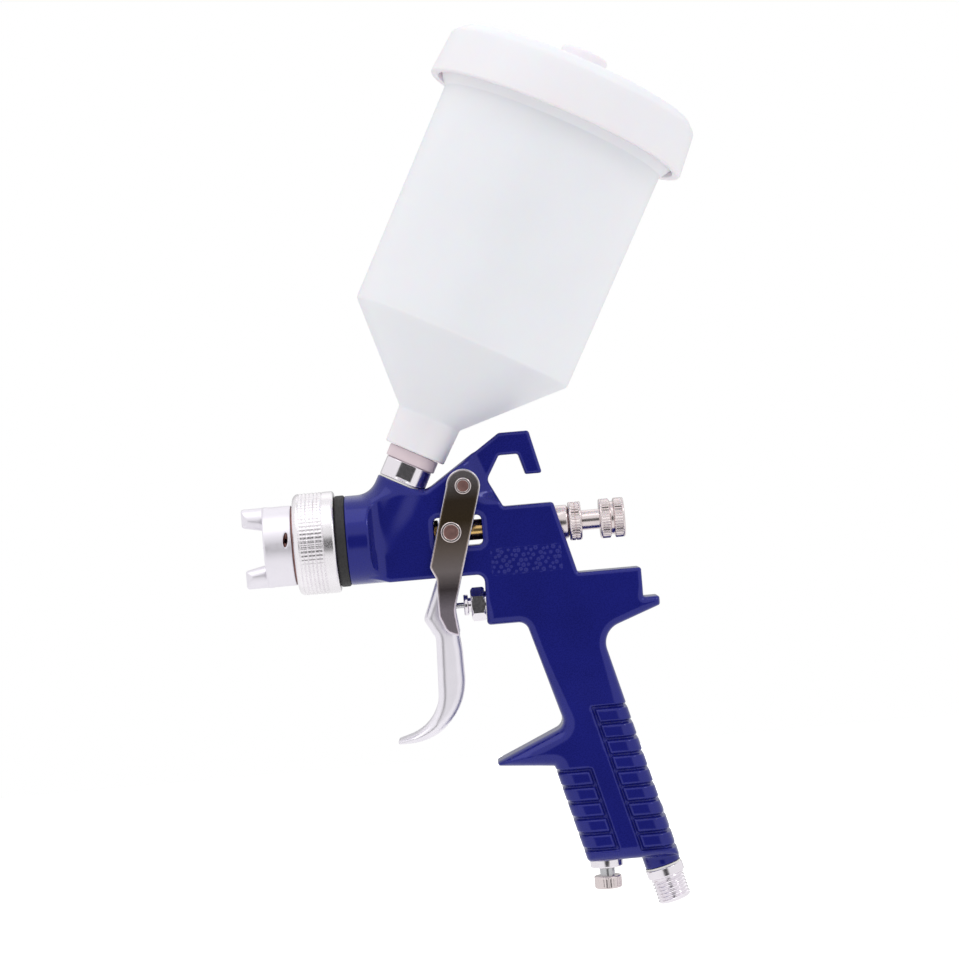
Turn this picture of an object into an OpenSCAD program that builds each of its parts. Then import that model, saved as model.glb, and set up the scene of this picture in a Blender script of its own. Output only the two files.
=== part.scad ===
// Gravity-feed spray gun with a leaning plastic cup. Millimetres, +Z up, nozzle towards -X.
// Origin: middle of the hanging hook's bearing face, on the gun's plane of symmetry.

/* [Barrel and head] */
// Depth of the needle axis below the hook's bearing face
needle_drop = 28; // [27.5:0.1:28.5]
// Radius of the barrel
barrel_r = 17.4; // [17:0.1:17.6]
// Radius of the knurled retaining ring
ring_r = 19.8; // [19.2:0.1:20.6]
// Radius of the air cap
cap_r = 15.6; // [15.2:0.1:15.6]
// Reach of the two air horns in front of the cap's face
horn_reach = 8.5; // [6:0.5:9]
// Width of each air horn
horn_w = 13; // [10:0.5:15]

/* [Body casting] */
// Thickness of the web and the block
web_t = 18; // [17:0.5:18]
// Thickness of the arm and the hanging hook
hook_t = 12; // [10:0.5:14]
// Thickness of the grip
grip_t = 25; // [23:0.5:27]
// Rake of the grip behind the vertical, degrees
grip_rake = 14.3; // [13.8:0.1:14.8]
// Pitch of the grip's grooves
groove_pitch = 6.2; // [6:0.05:6.3]

/* [Cup] */
// Lean of the cup behind the vertical, degrees
cup_lean = 28.2; // [27.8:0.1:28.6]
// Outer radius of the cup, half way up its straight wall
cup_r = 45; // [43:0.5:46]
// Wall thickness of the cup
cup_wall = 1.6; // [1.2:0.1:2]
// Outer radius of the lid, half way up its skirt
lid_r = 52; // [51.5:0.1:53]
// Height of the vent cap above the lid
vent_h = 9.5; // [8:0.5:11]

/* [Trigger] */
// Thickness of the trigger's side plates
plate_t = 2.2; // [1.8:0.1:2.6]
// Gap between the web and each side plate
plate_gap = 0.4; // [0.3:0.1:0.6]
// Radius of the trigger's pivot pin
pivot_r = 2.5; // [2.2:0.1:2.5]

/* [Rear controls] */
// Radius of the fluid knob
knob_r = 7.7; // [7.2:0.1:8.2]
// Radius of the knurled lock ring in front of it
lock_r = 7.5; // [7:0.1:8]

/* [Air inlet and regulator] */
// Radius of the inlet's outside thread, G 1/4
inlet_r = 6.578; // [6.5:0.001:6.6]
// Length of the inlet's outside thread
inlet_len = 10.2; // [9:0.1:12]
// Radius of the regulator's knob
reg_knob_r = 5.4; // [5:0.1:6]

/* [Hidden] */
$fn = 96;

// Clearance of a piece in the bore of another body, and of pieces fixed to each other
run_gap = 0.06;
fixed_gap = 0.02;
// How far a cutting solid runs past the face that it cuts
past = 1;

// Needle axis, and the stations along it
axis_z = -needle_drop;
head_x = -65;
spigot_x = -77;
ring_front_x = -85.2;
ring_rear_x = -69.1;
cap_face_x = -97;
window_front_x = -31.2;
window_rear_x = -12.6;
window_h = 11.6;
guide_x = 16;
lock_x = 21.2;
lock_w = 5;
knob_x = 33.3;
knob_w = 9.7;
spigot_r = 15.5;
chamber_r = 4.5;
spring_bore_r = 4.06;
needle_r = 1.25;
packing_r = 3.4;
window_collar_r = 4;

// Cup axis: where it crosses the needle axis, and the stations along it
cup_x = -53.3;
boss_r = 9.6;
boss_top = 23;
adapter_top = 31.4;
neck_bottom = 36.2;
neck_top = 51;
cone_top = 83;
rim_bottom = 172;
rim_top = 193.5;
lid_bottom = 174.8;
lid_top = 196;
adapter_bore_r = 5;
adapter_room_r = 9.9;
spigot_thread_r = 8;

// Trigger pivot, and the drive pin on the needle axis
pivot = [-18.5, -10.6];
drive_x = -24.6;
drive_r = 4;
plate_in = web_t / 2 + plate_gap;
plate_out = plate_in + plate_t;
pull_half = 8.5;
head_t = 1.6;
clip_t = 0.8;

// Air valve axis
valve_z = -57;
valve_bore_r = 4.5;
valve_tip_x = -34;
valve_face_x = -13.8;
valve_seat_x = 0;
valve_end_x = 19.5;
valve_stem_r = 1.1;

// Grip: its foot, its edges there, the air inlet's axis and the regulator's axis
foot_z = -160;
grip_back_x = 52.5;
neck_front_x = 26.6;
grip_front_x = 17.2;
inlet_boss_r = 7;
inlet_x = grip_back_x - inlet_boss_r / cos(grip_rake);
inlet_boss_end = 4.2;
reg_x = 24.5;
reg_bore_r = 5;
reg_stem_r = 2.95;

blue = [0.10, 0.11, 0.50];
chrome = [0.86, 0.86, 0.88];
nickel = [0.78, 0.74, 0.74];
brass = [0.78, 0.60, 0.30];
steel = [0.60, 0.61, 0.63];
rubber = [0.08, 0.08, 0.09];
nylon = [0.93, 0.92, 0.90];
milky = [0.91, 0.91, 0.94, 0.9];

// ---- outlines ----

function unit(v) = v / norm(v);

// Fillet of radius r at point b, between the edges from a and towards c
function fillet(a, b, c, r, steps) =
    let (u = unit([a.x - b.x, a.y - b.y]),
         v = unit([c.x - b.x, c.y - b.y]),
         half = acos(u * v) / 2,
         mid = [b.x, b.y] + unit(u + v) * r / sin(half),
         s = [b.x, b.y] + u * r / tan(half) - mid,
         e = [b.x, b.y] + v * r / tan(half) - mid,
         from = atan2(s.y, s.x),
         sweep = (atan2(e.y, e.x) - from + 540) % 360 - 180)
    [for (i = [0:steps]) mid + r * [cos(from + sweep * i / steps), sin(from + sweep * i / steps)]];

// Closed outline of [x, z, fillet radius] corners, each fillet drawn as an arc
function rounded(c) =
    [for (i = [0:len(c) - 1])
        let (a = c[(i + len(c) - 1) % len(c)], b = c[i], d = c[(i + 1) % len(c)])
        each b[2] == 0 ? [[b.x, b.y]] : fillet(a, b, d, b[2], b[2] < 3 ? 4 : 10)];

// A plate in the XZ plane, t thick, centred on Y = 0
module plate(corners, t) {
    rotate([90, 0, 0])
        linear_extrude(t, center = true)
            polygon(rounded(corners));
}

// Children drawn along +Z are laid along +X from station x on the axis at height z
module along_x(x, z = axis_z) {
    translate([x, 0, z])
        rotate([0, 90, 0])
            children();
}

module along_cup(t = 0) {
    translate([cup_x, 0, axis_z])
        rotate([0, cup_lean, 0])
            translate([0, 0, t])
                children();
}

// Down the air inlet's axis, from the level of the grip's foot
module along_inlet(s = 0) {
    translate([inlet_x, 0, foot_z])
        rotate([0, 180 - grip_rake, 0])
            translate([0, 0, s])
                children();
}

module along_y(at, y) {
    translate([at.x, y, at.y])
        rotate([-90, 0, 0])
            children();
}

// Tube from station z0 to z1 of the current axis
module tube(z0, z1, r_out, r_in) {
    rotate_extrude()
        polygon([[r_in, z0], [r_out, z0], [r_out, z1], [r_in, z1]]);
}

module rod(z0, z1, r) {
    translate([0, 0, z0])
        cylinder(h = z1 - z0, r = r);
}

// Round-wire compression spring that stands on z = 0
module coil_spring(mean_r, wire_r, length, turns) {
    sides = 6;
    steps = turns * 16;
    rise = length - 2 * wire_r;
    rings = [for (i = [0:steps], k = [0:sides - 1])
        let (turn = 360 * turns * i / steps,
             r = mean_r + wire_r * cos(360 * k / sides))
        [r * cos(turn), r * sin(turn), wire_r + rise * i / steps + wire_r * sin(360 * k / sides)]];
    walls = [for (i = [0:steps - 1], k = [0:sides - 1])
        let (a = i * sides, n = (k + 1) % sides)
        each [[a + k, a + n, a + k + sides], [a + n, a + n + sides, a + k + sides]]];
    ends = [[for (k = [sides - 1:-1:0]) k], [for (k = [0:sides - 1]) steps * sides + k]];
    polyhedron(rings, concat(walls, ends));
}

// ---- body casting ----

function edge_x(foot_x, z) = foot_x - (z - foot_z) * tan(grip_rake);

web_bottom_z = axis_z - barrel_r;
block_foot_z = -65.2;
block_front_x = -13.2;
block_top_z = -19.8;
spur_z = -106.5;
grip_top_z = -121.8;
tail_x = 53.6;

// Web, block, neck and grip, in their order round the outline
frame_outline = [
    [-52, web_bottom_z, 0],
    [block_front_x, web_bottom_z, 3],
    [block_front_x - 0.6, block_foot_z, 1.5],
    [edge_x(neck_front_x, block_foot_z) - 1.2, block_foot_z, 4],
    [edge_x(neck_front_x, spur_z), spur_z, 4],
    [-14.6, -118.4, 0.8],
    [-14, -120, 0.8],
    [edge_x(grip_front_x, grip_top_z), grip_top_z, 0.5],
    [grip_front_x, foot_z, 2],
    [edge_x(grip_back_x, foot_z), foot_z, 0],
    [edge_x(grip_back_x, -71.5), -71.5, 8],
    [tail_x, -63, 1],
    [tail_x, -59.4, 1],
    [47.4, -59.4, 0.8],
    [47.4, -47.8, 1],
    [22.9, -47.8, 1],
    [15.7, block_top_z, 1.2],
    [-3.6, block_top_z, 1],
    [-9, -9, 1],
    [-13, 1.8, 1],
    [-33, -11.4, 0],
    [-52, -12, 0]];

// Arm and hanging hook; the bearing face is the edge at z = 0
hook_outline = [
    [-33, -11.4, 0],
    [-20, -24, 0],
    [-12, -18, 0],
    [-9.2, -9.3, 0],
    [-3.7, 0, 1],
    [3.7, 0, 1],
    [6, -8.2, 0.8],
    [12.5, -8.2, 0.8],
    [8.6, 8.7, 1.2],
    [-3.1, 8.7, 2]];

module grip_core() {
    top = -84;
    inset = 5;
    foot = foot_z + 0.5;
    outer = [[edge_x(neck_front_x, top) + 1, top, 0],
             [edge_x(grip_front_x, grip_top_z), grip_top_z, 0],
             [edge_x(grip_front_x, foot) + 0.3, foot, 0],
             [edge_x(grip_back_x, foot) - 0.3, foot, 0],
             [edge_x(grip_back_x, top) - 0.3, top, 0]];
    inner = [[edge_x(neck_front_x, top) + inset + 4, top - inset, 0],
             [edge_x(grip_front_x, grip_top_z) + inset + 2, grip_top_z, 0],
             [edge_x(grip_front_x, foot) + inset, foot, 0],
             [edge_x(grip_back_x, foot) - inset, foot, 0],
             [edge_x(grip_back_x, top) - inset, top - inset, 0]];
    hull() {
        plate(outer, web_t);
        plate(inner, grip_t);
    }
}

// The grip's two panels of level grooves, a short one in front and a tall one behind, on both sides
module grip_grooves() {
    front_panel_z = -123.9;
    front_panel_l = 14;
    back_panel_z = -100.4;
    back_panel_l = 15;
    for (side = [-1, 1]) {
        for (i = [0:5])
            groove(front_panel_z - i * groove_pitch, grip_front_x - 1, front_panel_l, side);
        for (i = [0:9])
            groove(back_panel_z - i * groove_pitch, grip_back_x + 1 - back_panel_l, back_panel_l, side);
    }
}

module groove(z, foot_x, length, side) {
    depth = 1.1;
    height = 1;
    translate([edge_x(foot_x, z), side * (grip_t / 2) - depth, z - height / 2])
        cube([length, 2 * depth, height]);
}

// Round barrel, the shoulder that runs it into the web, and the threaded spigot at its front
module barrel() {
    along_x(0) {
        rod(head_x, -50, barrel_r);
        translate([0, 0, -50])
            cylinder(h = 11, r1 = barrel_r, r2 = web_t / 2);
        rod(spigot_x, head_x, spigot_r);
    }
    along_cup()
        rod(6, boss_top, boss_r);
    along_cup()
        translate([0, 0, 12])
            cylinder(h = 8, r1 = boss_r + 4, r2 = boss_r);
}

module fluid_passages() {
    along_x(0) {
        rod(spigot_x - past, -46, chamber_r);
        rod(spigot_x - past, -67, 6);
        rod(-47, window_front_x + past, needle_r + 0.3);
        rod(-40, window_front_x + past, packing_r + fixed_gap);
        rod(window_rear_x - past, guide_x, spring_bore_r);
        rod(4, guide_x, 5.5 + fixed_gap);
        rod(guide_x, 30, 6.6 + fixed_gap);
    }
    along_cup() {
        rod(0, 14, adapter_bore_r);
        rod(12, boss_top + past, 7 + fixed_gap);
        rod(boss_top, adapter_top, adapter_room_r);
    }
}

// Air runs from the inlet past the regulator, up the grip to the valve, and forward to the head
module air_passages() {
    duct_z = -39.8;
    duct_r = 2.4;
    riser_x = -3;
    feed_top_x = 10;
    cross_z = -141;
    along_inlet()
        rod(-26, inlet_boss_end + past, 4.2);
    along_inlet()
        rod(-8, inlet_boss_end + past, 5.5 + fixed_gap);
    along_x(0, cross_z)
        rod(reg_x, edge_x(inlet_x, cross_z), 3);
    translate([reg_x, 0, foot_z - past]) {
        rod(0, 11, reg_bore_r + fixed_gap);
        rod(0, 22, 4);
    }
    feed = [feed_top_x - reg_x, valve_z - cross_z];
    translate([reg_x, 0, cross_z])
        rotate([0, atan2(feed.x, feed.y), 0])
            rod(0, norm(feed), 3.2);
    along_x(0, valve_z) {
        rod(valve_face_x - past, -5, 5 + fixed_gap);
        rod(-6, valve_end_x, valve_bore_r);
    }
    translate([riser_x, 0, valve_z])
        rod(0, duct_z - valve_z, duct_r);
    along_x(0, duct_z)
        rod(-67, riser_x, duct_r);
    along_x(0)
        tube(spigot_x - past, -66, 13.5, 10);
}

module gun_body() {
    color(blue)
        difference() {
            union() {
                plate(frame_outline, web_t);
                plate(hook_outline, hook_t);
                barrel();
                grip_core();
                along_inlet()
                    rod(-18, inlet_boss_end, inlet_boss_r);
            }
            grip_grooves();
            fluid_passages();
            air_passages();
            translate([window_front_x, -web_t, axis_z - window_h / 2])
                cube([window_rear_x - window_front_x, 2 * web_t, window_h]);
            along_y(pivot, -web_t)
                cylinder(h = 2 * web_t, r = pivot_r + run_gap);
        }
}

// ---- spray head ----

module head_gasket() {
    color(rubber)
        along_x(0)
            tube(ring_rear_x + 0.1, head_x - 0.02, barrel_r + 0.4, spigot_r + 0.1);
}

module fluid_nozzle() {
    color(brass)
        along_x(0)
            rotate_extrude()
                polygon([[0.75, -97.6], [1.6, -97.6], [1.9, -94], [6, -86], [9, -84.5], [9, -80.4],
                         [6.8, -80.4], [6.8, spigot_x - 0.1], [5.95, spigot_x - 0.1], [5.95, -68],
                         [3.2, -68], [3.2, -88], [0.75, -95.5]]);
}

module air_baffle() {
    holes = 10;
    color(steel)
        difference() {
            along_x(0)
                tube(-80.2, spigot_x - 0.1, 15.2, 6.9);
            for (i = [0:holes - 1])
                translate([-81, 0, axis_z])
                    rotate([360 * i / holes, 0, 0])
                        translate([0, 0, 11.5])
                            rotate([0, 90, 0])
                                cylinder(h = 5, r = 1.4);
        }
}

cap_flange_r = 16.9;
cap_flange_x = -82.2;

module cap_washer() {
    color(nylon)
        along_x(0)
            tube(-83.1, cap_flange_x - 0.1, cap_flange_r, cap_r + 0.3);
}

// One air hole, which opens at a horn's inner face and points inwards and a little forwards
module horn_hole(side, x, r) {
    forward = 30;
    translate([x, 0, axis_z + side * 12])
        rotate([0, side > 0 ? 180 + forward : -forward, 0])
            cylinder(h = 7, r = r);
}

module air_cap() {
    horn_x = cap_face_x - horn_reach;
    root = 6.6;
    tip = 8.4;
    color(chrome)
        difference() {
            along_x(0) {
                rotate_extrude()
                    polygon([[2.3, cap_face_x], [cap_r - 0.8, cap_face_x], [cap_r, cap_face_x + 0.8],
                             [cap_r, cap_flange_x], [cap_flange_r, cap_flange_x], [cap_flange_r, -80.5],
                             [13.2, -80.5], [13.2, -90], [8.6, -94.2], [3.2, -94.2], [2.3, -95.4]]);
                rod(horn_x, cap_face_x + 1, cap_r - 0.05);
            }
            translate([0, 0, axis_z])
                rotate([90, 0, 0])
                    linear_extrude(4 * cap_r, center = true)
                        polygon([[horn_x - past, -tip - 0.2], [cap_face_x, -root],
                                 [cap_face_x, root], [horn_x - past, tip + 0.2]]);
            for (side = [-1, 1])
                translate([horn_x - past, side * (horn_w / 2 + cap_r) - cap_r, axis_z - 2 * cap_r])
                    cube([horn_reach + past, 2 * cap_r, 4 * cap_r]);
            along_x(0)
                rod(-98, -94, 2.3);
            for (side = [-1, 1], x = [-101, -98.3])
                horn_hole(side, x, 0.7);
            for (i = [0:7])
                translate([cap_face_x - past, 0, axis_z])
                    rotate([45 * i + 22.5, 0, 0])
                        translate([0, 0, 4.6])
                            rotate([0, 90, 0])
                                cylinder(h = 4.5, r = 0.45);
        }
}

module retaining_ring() {
    lip_r = cap_r + 0.1;
    grooves = 7;
    pitch = 1.5;
    first = -83;
    color(chrome)
        along_x(0)
            difference() {
                rotate_extrude()
                    polygon([[lip_r, ring_front_x], [ring_r - 1.6, ring_front_x], [ring_r, ring_front_x + 2],
                             [ring_r, ring_rear_x - 0.6], [ring_r - 0.6, ring_rear_x],
                             [spigot_r + run_gap, ring_rear_x], [spigot_r + run_gap, -80.4],
                             [cap_flange_r + 0.3, -80.4], [cap_flange_r + 0.3, -83.2], [lip_r, -83.2]]);
                for (i = [0:grooves - 1])
                    tube(first + i * pitch, first + 0.5 + i * pitch, ring_r + past, ring_r - 0.5);
            }
}

// ---- needle line ----

module needle() {
    color(steel)
        along_x(0)
            rotate_extrude()
                polygon([[0, -98.4], [0.25, -98.2], [0.7, -95.6], [needle_r, -92], [needle_r, -11],
                         [2, -11], [2, 14], [0, 14]]);
}

module needle_collar() {
    color(brass)
        along_x(0)
            difference() {
                rod(drive_x + drive_r + 0.1, -6.5, window_collar_r);
                rod(-30, -11 + fixed_gap, needle_r + fixed_gap);
                rod(-11 - fixed_gap, 0, 2 + fixed_gap);
            }
}

module needle_packing() {
    color(nylon)
        along_x(0)
            tube(-39.9, -36.2, packing_r, needle_r + 0.05);
}

module packing_nut() {
    hex_r = 4.9;
    color(brass)
        along_x(0)
            difference() {
                union() {
                    rod(-36.1, window_front_x + 0.1, packing_r);
                    translate([0, 0, window_front_x + 0.1])
                        cylinder(h = 1.6, r = hex_r, $fn = 6);
                }
                rod(-40, -28, needle_r + 0.08);
            }
}

module needle_spring() {
    color(steel)
        along_x(-6.4)
            coil_spring(3.05, 0.45, 15.3, 8);
}

module spring_seat() {
    color(steel)
        along_x(0)
            tube(9, 10, 3.8, 2.2);
}

// Double knurled knob on a threaded spindle whose blind bore is the needle's back stop
module fluid_knob() {
    spindle_r = 3.9;
    waist_r = knob_r - 1.2;
    mid = knob_x + knob_w / 2;
    end = knob_x + knob_w;
    color(nickel)
        along_x(0)
            rotate_extrude()
                polygon([[0, 17.6], [2.2, 17.6], [2.2, 10.1], [spindle_r, 10.1], [spindle_r, knob_x],
                         [knob_r - 0.5, knob_x], [knob_r, knob_x + 0.5], [knob_r, mid - 1.1],
                         [waist_r, mid - 0.6], [waist_r, mid + 0.6], [knob_r, mid + 1.1],
                         [knob_r, end - 0.5], [knob_r - 0.5, end], [0, end]]);
}

module lock_ring() {
    bore_r = 4;
    lock_end = lock_x + lock_w;
    color(nickel)
        along_x(0)
            rotate_extrude()
                polygon([[bore_r, lock_x + 0.1], [lock_r - 0.5, lock_x + 0.1], [lock_r, lock_x + 0.6],
                         [lock_r, lock_end - 0.5], [lock_r - 0.5, lock_end], [bore_r, lock_end]]);
}

// Threaded into the rear of the block, with a flange outside
module rear_guide() {
    bore_r = 3.96;
    color(nickel)
        along_x(0)
            rotate_extrude()
                polygon([[bore_r, 4.1], [5.5, 4.1], [5.5, guide_x], [6.6, guide_x],
                         [6.6, lock_x - 0.8], [5.8, lock_x], [bore_r, lock_x]]);
}

// ---- trigger ----

// Back edge of the finger pull, from its tip up to the side plates
pull_back = [
    [-52, -108.4, 0.6],
    [-23.6, -108.4, 24],
    [-24, -74, 10]];

pull_front = [
    [-34, -68.6, 4],
    [-35.4, -102, 17],
    [-52, -106.9, 0.6]];

// Side plates, from their head down to their rounded foot and back up
arm_outline = [
    [-24.6, -8.6, 0],
    [-34.1, -40.9, 2.5],
    [-31.8, -45.6, 3],
    [-32.2, -60, 4],
    [-29.6, -66.4, 4],
    [-24.4, -68.6, 0.8],
    [-25.6, -58, 12],
    [-12.2, -12.8, 0]];
pull_outline = concat(
    [[-31.8, -45.6, 0], [-38.2, -61, 3]],
    pull_front,
    pull_back,
    [[-25.6, -58, 0]]);

// Space between the side plates, open to the rear and above the pull's web
arm_hollow = [
    [-60, 10, 0],
    [-60, -47.2, 0],
    [-30.4, -47.2, 0],
    [-35.7, -60.8, 2],
    [-31.7, -69, 0],
    [0, -69, 0],
    [0, 10, 0]];
pull_hollow = [
    [-30.4, -47.2, 0],
    [-35.7, -60.8, 2],
    [-31.6, -68.8, 3],
    [-33, -99.6, 12],
    [-41, -104.2, 0],
    [-30, -104.2, 4],
    [-10, -80, 0],
    [-10, -47.2, 0]];

module trigger() {
    color(chrome)
        difference() {
            union() {
                plate(arm_outline, 2 * plate_out);
                along_y(pivot, -plate_out)
                    cylinder(h = 2 * plate_out, r = 6.6);
                plate(pull_outline, 2 * pull_half);
            }
            plate(arm_hollow, 2 * plate_in);
            plate(pull_hollow, 2 * (pull_half - plate_t));
            along_y(pivot, -2 * plate_out)
                cylinder(h = 4 * plate_out, r = pivot_r + fixed_gap);
            along_y([drive_x, axis_z], -2 * plate_out)
                cylinder(h = 4 * plate_out, r = pivot_r + fixed_gap);
        }
}

// Headed pin across the trigger: head on the -Y side, clip groove and tail on the +Y side
module headed_pin(head_r) {
    groove_y = plate_out + 0.1;
    tail_y = groove_y + clip_t + 1;
    difference() {
        union() {
            rod(-plate_out - head_t, -plate_out, head_r);
            rod(-plate_out, groove_y, pivot_r);
            rod(groove_y, groove_y + clip_t, pivot_r - 0.6);
            rod(groove_y + clip_t, tail_y, pivot_r);
        }
        rod(-plate_out - head_t - past, -plate_out - head_t + 0.7, head_r - 1.4);
    }
}

module pivot_pin() {
    color(nickel)
        along_y(pivot, 0)
            headed_pin(3.2);
}

// The drive pin is thick between the plates and slotted for the needle that runs through it
module drive_pin() {
    barrel_half = plate_in - 0.1;
    slot_w = 3.4;
    color(nickel)
        difference() {
            along_y([drive_x, axis_z], 0) {
                headed_pin(4);
                rod(-barrel_half, barrel_half, drive_r);
            }
            translate([drive_x - 2 * drive_r, -slot_w / 2, axis_z - 1.5])
                cube([4 * drive_r, slot_w, 4.5]);
        }
}

module pin_clips() {
    clip_y = plate_out + 0.1;
    color(steel)
        for (at = [pivot, [drive_x, axis_z]])
            along_y(at, 0)
                difference() {
                    tube(clip_y, clip_y + clip_t, 4.1, pivot_r - 0.6);
                    translate([-1.2, 0, clip_y - past])
                        cube([2.4, 6, clip_t + 2 * past]);
                }
}

// ---- air valve ----

module air_valve_nut() {
    color(chrome)
        along_x(0, valve_z)
            difference() {
                union() {
                    translate([0, 0, -19.4])
                        cylinder(h = 5.5, r = 6.6, $fn = 6);
                    rod(-14, -5.1, 5);
                }
                rod(-20, -4, valve_stem_r + 0.3);
                rod(-20, -10, 2.9 + fixed_gap);
            }
}

module air_valve_gland() {
    color(chrome)
        along_x(0, valve_z)
            difference() {
                union() {
                    rod(-22.2, -20.4, 4.1);
                    rod(-20.4, -14, 2.9);
                }
                rod(-23, -13, valve_stem_r + run_gap);
            }
}

module air_valve_packing() {
    color(nylon)
        along_x(0, valve_z)
            tube(-13.9, -10.1, 2.85, valve_stem_r + run_gap);
}

module air_valve_seat() {
    color(brass)
        along_x(0, valve_z)
            tube(valve_seat_x - 1.8, valve_seat_x, valve_bore_r - fixed_gap, 2.6);
}

// Push rod with a flange that carries the valve washer
module air_valve_stem() {
    color(steel)
        along_x(0, valve_z) {
            translate([0, 0, valve_tip_x + valve_stem_r])
                sphere(r = valve_stem_r);
            rod(valve_tip_x + valve_stem_r, 5, valve_stem_r);
            rod(valve_seat_x + 1.7, valve_seat_x + 3, 3.9);
        }
}

module air_valve_washer() {
    color(rubber)
        along_x(0, valve_z)
            tube(valve_seat_x + 0.1, valve_seat_x + 1.65, 3.8, valve_stem_r + fixed_gap);
}

module air_valve_spring() {
    color(steel)
        along_x(valve_seat_x + 3.1, valve_z)
            coil_spring(2.9, 0.4, valve_end_x - valve_seat_x - 3.2, 8);
}

// ---- regulator and air inlet ----

module along_regulator() {
    translate([reg_x, 0, foot_z])
        children();
}

module regulator_collar() {
    bore_r = reg_stem_r + run_gap;
    color(chrome)
        along_regulator()
            rotate_extrude()
                polygon([[bore_r, -3.2], [6, -3.2], [6.5, -2.7], [6.5, -fixed_gap], [reg_bore_r, -fixed_gap],
                         [reg_bore_r, 9.8], [bore_r, 9.8]]);
}

module regulator_stem() {
    color(steel)
        along_regulator()
            rotate_extrude()
                polygon([[0, -10.2], [reg_stem_r, -10.2], [reg_stem_r, 4.2], [1.6, 4.2], [1.6, 5.8],
                         [reg_stem_r, 5.8], [reg_stem_r, 12], [1.2, 16], [0, 16]]);
}

module regulator_oring() {
    color(rubber)
        along_regulator()
            translate([0, 0, 5])
                rotate_extrude()
                    translate([2.32, 0])
                        circle(r = 0.66, $fn = 24);
}

module regulator_knob() {
    color(chrome)
        along_regulator()
            difference() {
                rotate_extrude()
                    polygon([[0, -11.5], [reg_knob_r - 0.6, -11.5], [reg_knob_r, -10.9], [reg_knob_r, -7],
                             [reg_knob_r - 0.4, -6.6], [0, -6.6]]);
                rod(-10.25, -6, reg_stem_r + fixed_gap);
            }
}

module air_inlet() {
    bore_r = 3.8;
    shoulder = inlet_boss_end + 0.7;
    collar_end = shoulder + 3.6;
    thread_end = collar_end + inlet_len;
    color(chrome)
        along_inlet()
            rotate_extrude()
                polygon([[bore_r, -7.8], [5.5, -7.8], [5.5, shoulder], [7.4, shoulder], [7.4, collar_end],
                         [inlet_r, collar_end], [inlet_r, thread_end - 0.8], [inlet_r - 0.8, thread_end],
                         [bore_r, thread_end]]);
}

module inlet_washer() {
    color(nylon)
        along_inlet()
            tube(inlet_boss_end + 0.02, inlet_boss_end + 0.68, 7.1, 5.5 + 2 * fixed_gap);
}

// ---- cup ----

// Hollow chrome fitting: screwed into the body's boss below, and into the cup's neck above
module cup_adapter() {
    collar_r = 9.3;
    flat = 8.7;
    color(chrome)
        along_cup()
            difference() {
                union() {
                    rod(12.2, boss_top + 0.6, 7);
                    rod(boss_top + 0.6, adapter_top, collar_r);
                    rod(adapter_top, 46.6, spigot_thread_r);
                }
                rod(12, 47, adapter_bore_r);
                for (side = [-1, 1])
                    translate([-collar_r, side * (flat + past) - past, boss_top + 0.6 + past])
                        cube([2 * collar_r, 2 * past, adapter_top - boss_top - 0.6]);
            }
}

module adapter_seal() {
    color(nylon)
        along_cup()
            tube(boss_top + 0.02, boss_top + 0.58, 9.2, 7 + 2 * fixed_gap);
}

module neck_nut() {
    color(milky)
        along_cup()
            tube(adapter_top + 0.05, neck_bottom - 0.1, 10, spigot_thread_r + run_gap);
}

module cup() {
    draft = 0.4;
    base_r = cup_r - draft;
    mouth_r = cup_r + draft;
    rim_r = lid_r - 3.3;
    color(milky)
        along_cup()
            rotate_extrude()
                polygon([[spigot_thread_r + 0.1, neck_bottom], [12.25, neck_bottom], [12.8, neck_top],
                         [base_r, cone_top], [mouth_r, rim_bottom], [rim_r, rim_bottom + 5], [rim_r, rim_top],
                         [mouth_r - cup_wall, rim_top], [mouth_r - cup_wall, rim_bottom],
                         [base_r - cup_wall, cone_top + 0.7], [9.6, neck_top - 0.6], [9.6, 47.5],
                         [spigot_thread_r + 0.1, 47.5]]);
}

// Strainer that stands in the cup's neck
module cup_filter() {
    slots = 10;
    foot = 47.6;
    top = 76;
    color(nylon)
        along_cup()
            difference() {
                union() {
                    tube(foot, foot + 1.4, 9.4, 5);
                    tube(foot, top, 6, 5);
                    rod(top - 1.2, top, 5.5);
                }
                for (i = [0:slots / 2 - 1])
                    rotate([0, 0, 360 * i / slots])
                        translate([-7, -0.8, foot + 5])
                            cube([14, 1.6, top - foot - 9]);
            }
}

module cup_lid() {
    flare = 0.8;
    edge = 2.5;
    vent_r = 1;
    nipple_r = 4;
    color(milky)
        along_cup()
            rotate_extrude()
                polygon([[lid_r - 2.5, lid_bottom], [lid_r + flare, lid_bottom],
                         [lid_r - flare, lid_top - edge], [lid_r - flare - edge, lid_top],
                         [nipple_r, lid_top], [nipple_r, lid_top + 5], [vent_r, lid_top + 5],
                         [vent_r, lid_top - 2], [lid_r - 3, lid_top - 2]]);
}

module vent_cap() {
    r = 9.5;
    color(milky)
        along_cup(lid_top + 0.1)
            rotate_extrude()
                polygon([[4.1, 0], [r - 0.4, 0], [r, 0.4], [r, vent_h - 1.1], [r - 1, vent_h - 0.1],
                         [0, vent_h - 0.1], [0, vent_h - 2.3], [4.1, vent_h - 2.3]]);
}

gun_body();
head_gasket();
fluid_nozzle();
air_baffle();
cap_washer();
air_cap();
retaining_ring();
needle();
needle_collar();
needle_packing();
packing_nut();
needle_spring();
spring_seat();
fluid_knob();
lock_ring();
rear_guide();
trigger();
pivot_pin();
drive_pin();
pin_clips();
air_valve_nut();
air_valve_gland();
air_valve_packing();
air_valve_seat();
air_valve_stem();
air_valve_washer();
air_valve_spring();
regulator_collar();
regulator_stem();
regulator_oring();
regulator_knob();
air_inlet();
inlet_washer();
cup_adapter();
adapter_seal();
neck_nut();
cup();
cup_filter();
cup_lid();
vent_cap();
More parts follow.
